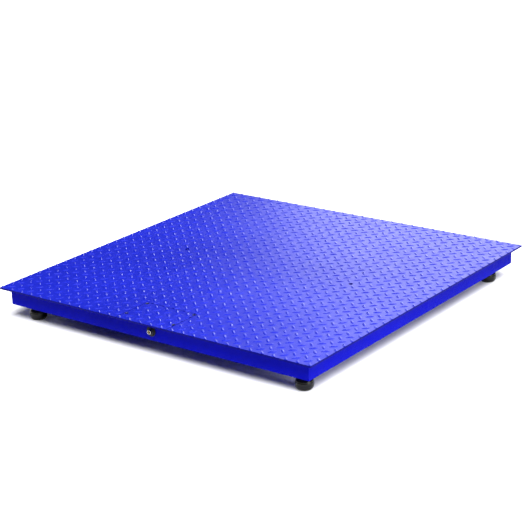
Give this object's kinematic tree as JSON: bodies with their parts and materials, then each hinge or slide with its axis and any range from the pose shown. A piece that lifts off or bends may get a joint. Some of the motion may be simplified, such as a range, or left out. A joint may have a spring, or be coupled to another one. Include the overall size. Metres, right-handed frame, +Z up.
{
  "type": "pallet scale",
  "caption": "Low square floor scale with a chequer-plate deck on a channel frame, load cells and swivel levelling feet in its corners, and a panel connector.",
  "frame": {"origin": "on the floor, under the centre of the deck", "axes": "+Z up, -Y towards the side with the connector and access cover, +X to the right of someone facing that side"},
  "size_m": [1.2192, 1.2192, 0.116],
  "materials": {
    "deck_paint": "blue enamel over chequer plate",
    "frame_paint": "blue enamel over folded sheet",
    "bare_steel": "blue enamel over thick plate",
    "plated_steel": "zinc plated",
    "cell_steel": "nickel plated alloy steel",
    "nickel": "bright nickel plate",
    "foot_steel": "turned stainless steel",
    "seat_plastic": "natural acetal",
    "pad_rubber": "moulded black rubber",
    "seal_rubber": "sheet rubber",
    "lead_jacket": "dark grey cable jacket",
    "black_plastic": "moulded nylon",
    "box_plastic": "light grey moulding",
    "board_laminate": "green circuit board",
    "terminal_plastic": "green terminal block",
    "pot_plastic": "blue trimmer",
    "gold_plate": "gold plated contacts"
  },
  "bodies": {
    "platform": {"deck_plate": "deck_paint", "cover_gasket": "seal_rubber", "cover_ledges": "frame_paint", "front_apron": "frame_paint", "rear_apron": "frame_paint", "left_apron": "frame_paint", "right_apron": "frame_paint", "deck_ribs": "frame_paint", "cross_members": "frame_paint", "lifting_bosses": "bare_steel", "cell_mount_plates": "bare_steel", "cell_spacers": "bare_steel", "cell_bolts": "plated_steel", "cell_washers": "plated_steel", "cell_pocket_covers": "cell_steel", "cell_glands": "nickel", "lock_nuts": "plated_steel", "load_cell_front_left": "cell_steel", "load_cell_front_right": "cell_steel", "load_cell_rear_left": "cell_steel", "load_cell_rear_right": "cell_steel", "lead_front_left": "lead_jacket", "lead_front_right": "lead_jacket", "lead_rear_left": "lead_jacket", "lead_rear_right": "lead_jacket", "output_lead": "lead_jacket", "cable_clips": "black_plastic", "junction_box": "box_plastic", "junction_box_gasket": "seal_rubber", "junction_box_lid": "box_plastic", "lid_screws": "plated_steel", "summing_board": "board_laminate", "terminal_blocks": "terminal_plastic", "trim_pots": "pot_plastic", "box_glands": "black_plastic", "box_bracket": "frame_paint", "bracket_screws": "plated_steel", "connector_gasket": "seal_rubber", "connector_shell": "nickel", "connector_insert": "black_plastic", "connector_pins": "gold_plate", "connector_nut": "nickel"},
    "cover": {"access_cover": "deck_paint", "cover_screws": "plated_steel"},
    "front_left_foot_seat": {"foot_seat_front_left": "seat_plastic"},
    "front_left_foot_stem": {"foot_stem_front_left": "foot_steel"},
    "front_left_foot_cup": {"foot_cup_front_left": "foot_steel"},
    "front_left_foot_pad": {"foot_pad_front_left": "pad_rubber"},
    "front_right_foot_seat": {"foot_seat_front_right": "seat_plastic"},
    "front_right_foot_stem": {"foot_stem_front_right": "foot_steel"},
    "front_right_foot_cup": {"foot_cup_front_right": "foot_steel"},
    "front_right_foot_pad": {"foot_pad_front_right": "pad_rubber"},
    "rear_left_foot_seat": {"foot_seat_rear_left": "seat_plastic"},
    "rear_left_foot_stem": {"foot_stem_rear_left": "foot_steel"},
    "rear_left_foot_cup": {"foot_cup_rear_left": "foot_steel"},
    "rear_left_foot_pad": {"foot_pad_rear_left": "pad_rubber"},
    "rear_right_foot_seat": {"foot_seat_rear_right": "seat_plastic"},
    "rear_right_foot_stem": {"foot_stem_rear_right": "foot_steel"},
    "rear_right_foot_cup": {"foot_cup_rear_right": "foot_steel"},
    "rear_right_foot_pad": {"foot_pad_rear_right": "pad_rubber"}
  },
  "joints": [
    {"name": "cover_lift", "type": "slide", "parent": "platform", "child": "cover", "axis": [0, 0, 1], "range_m": [0, 0.15]},
    {"name": "front_left_lift", "type": "slide", "parent": "platform", "child": "front_left_foot_seat", "axis": [0, 0, -1], "range_m": [-0.0035, 0.007]},
    {"name": "front_left_turn", "type": "hinge", "parent": "front_left_foot_seat", "child": "front_left_foot_stem", "pos_m": [-0.5276, -0.5276, 0.022], "axis": [0, 0, -1], "range_deg": [-721, 1441]},
    {"name": "front_left_tilt_x", "type": "hinge", "parent": "front_left_foot_seat", "child": "front_left_foot_cup", "pos_m": [-0.5276, -0.5276, 0.022], "axis": [1, 0, 0], "range_deg": [-6, 6]},
    {"name": "front_left_tilt_y", "type": "hinge", "parent": "front_left_foot_cup", "child": "front_left_foot_pad", "pos_m": [-0.5276, -0.5276, 0.022], "axis": [0, 1, 0], "range_deg": [-6, 6]},
    {"name": "front_right_lift", "type": "slide", "parent": "platform", "child": "front_right_foot_seat", "axis": [0, 0, -1], "range_m": [-0.0035, 0.007]},
    {"name": "front_right_turn", "type": "hinge", "parent": "front_right_foot_seat", "child": "front_right_foot_stem", "pos_m": [0.5276, -0.5276, 0.022], "axis": [0, 0, -1], "range_deg": [-721, 1441]},
    {"name": "front_right_tilt_x", "type": "hinge", "parent": "front_right_foot_seat", "child": "front_right_foot_cup", "pos_m": [0.5276, -0.5276, 0.022], "axis": [1, 0, 0], "range_deg": [-6, 6]},
    {"name": "front_right_tilt_y", "type": "hinge", "parent": "front_right_foot_cup", "child": "front_right_foot_pad", "pos_m": [0.5276, -0.5276, 0.022], "axis": [0, 1, 0], "range_deg": [-6, 6]},
    {"name": "rear_left_lift", "type": "slide", "parent": "platform", "child": "rear_left_foot_seat", "axis": [0, 0, -1], "range_m": [-0.0035, 0.007]},
    {"name": "rear_left_turn", "type": "hinge", "parent": "rear_left_foot_seat", "child": "rear_left_foot_stem", "pos_m": [-0.5276, 0.5276, 0.022], "axis": [0, 0, -1], "range_deg": [-721, 1441]},
    {"name": "rear_left_tilt_x", "type": "hinge", "parent": "rear_left_foot_seat", "child": "rear_left_foot_cup", "pos_m": [-0.5276, 0.5276, 0.022], "axis": [1, 0, 0], "range_deg": [-6, 6]},
    {"name": "rear_left_tilt_y", "type": "hinge", "parent": "rear_left_foot_cup", "child": "rear_left_foot_pad", "pos_m": [-0.5276, 0.5276, 0.022], "axis": [0, 1, 0], "range_deg": [-6, 6]},
    {"name": "rear_right_lift", "type": "slide", "parent": "platform", "child": "rear_right_foot_seat", "axis": [0, 0, -1], "range_m": [-0.0035, 0.007]},
    {"name": "rear_right_turn", "type": "hinge", "parent": "rear_right_foot_seat", "child": "rear_right_foot_stem", "pos_m": [0.5276, 0.5276, 0.022], "axis": [0, 0, -1], "range_deg": [-721, 1441]},
    {"name": "rear_right_tilt_x", "type": "hinge", "parent": "rear_right_foot_seat", "child": "rear_right_foot_cup", "pos_m": [0.5276, 0.5276, 0.022], "axis": [1, 0, 0], "range_deg": [-6, 6]},
    {"name": "rear_right_tilt_y", "type": "hinge", "parent": "rear_right_foot_cup", "child": "rear_right_foot_pad", "pos_m": [0.5276, 0.5276, 0.022], "axis": [0, 1, 0], "range_deg": [-6, 6]}
  ],
  "couplings": [
    {"joint": "front_left_turn", "follows": "front_left_lift", "rad_per_m": 3590.4},
    {"joint": "front_right_turn", "follows": "front_right_lift", "rad_per_m": 3590.4},
    {"joint": "rear_left_turn", "follows": "rear_left_lift", "rad_per_m": 3590.4},
    {"joint": "rear_right_turn", "follows": "rear_right_lift", "rad_per_m": 3590.4}
  ]
}
